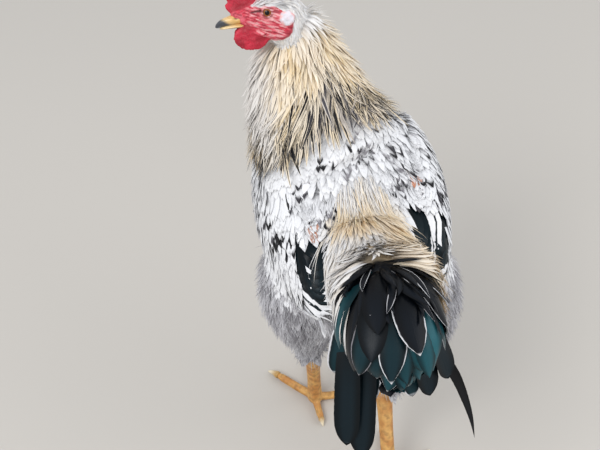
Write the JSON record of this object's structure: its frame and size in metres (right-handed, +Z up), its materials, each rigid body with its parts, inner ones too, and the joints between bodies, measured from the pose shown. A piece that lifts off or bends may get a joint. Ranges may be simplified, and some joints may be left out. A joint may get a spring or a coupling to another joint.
{
  "type": "domestic cockerel figure",
  "caption": "Life-size standing cockerel in mid-step, head turned to its left, with comb, wattles, hackle, folded wings, arched tail coverts, drooping tail feathers and scaled feet",
  "frame": {"origin": "on the floor, under the middle of the whole bird", "axes": "+Z up; the trunk faces -Y and the tail is towards +Y; the bird's left side is +X, and its head is turned to look towards +X"},
  "size_m": [0.214, 0.3348, 0.5289],
  "materials": {
    "white_plumage": "white feathers with dark grey tips",
    "cream_hackle": "long pointed cream feathers, black-striped low down",
    "grey_fluff": "downy grey-white fluff",
    "black_tail": "black feathers with a blue-green sheen",
    "red_skin": "bare red skin, finely wrinkled",
    "white_skin": "smooth white ear lobe",
    "beak": "yellow horn with a slate tip",
    "eye": "wet orange-brown iris, black pupil",
    "leg": "yellow scaled skin",
    "claw": "pale horn"
  },
  "bodies": {
    "root": {"beak_lower": "beak", "beak_upper": "beak", "claw_left_1": "claw", "claw_left_2": "claw", "claw_left_3": "claw", "claw_left_4": "claw", "claw_right_1": "claw", "claw_right_2": "claw", "claw_right_3": "claw", "claw_right_4": "claw", "comb": "red_skin", "earlobe_left": "white_skin", "earlobe_right": "white_skin", "eye_left": "eye", "eye_right": "eye", "head": "red_skin", "neck_lower": "cream_hackle", "neck_upper": "cream_hackle", "shank_left": "leg", "shank_right": "leg", "tail_coverts": "black_tail", "tail_feather_left_1": "black_tail", "tail_feather_left_2": "black_tail", "tail_feather_left_3": "black_tail", "tail_feather_left_4": "black_tail", "tail_feather_right_1": "black_tail", "tail_feather_right_2": "black_tail", "tail_feather_right_3": "black_tail", "tail_sickle_right": "black_tail", "thigh_left": "grey_fluff", "thigh_right": "grey_fluff", "toe_left_1": "leg", "toe_left_2": "leg", "toe_left_3": "leg", "toe_left_4": "leg", "toe_right_1": "leg", "toe_right_2": "leg", "toe_right_3": "leg", "toe_right_4": "leg", "trunk": "white_plumage", "wattle_left": "red_skin", "wattle_right": "red_skin", "wing_left": "white_plumage", "wing_right": "white_plumage"}
  },
  "joints": []
}
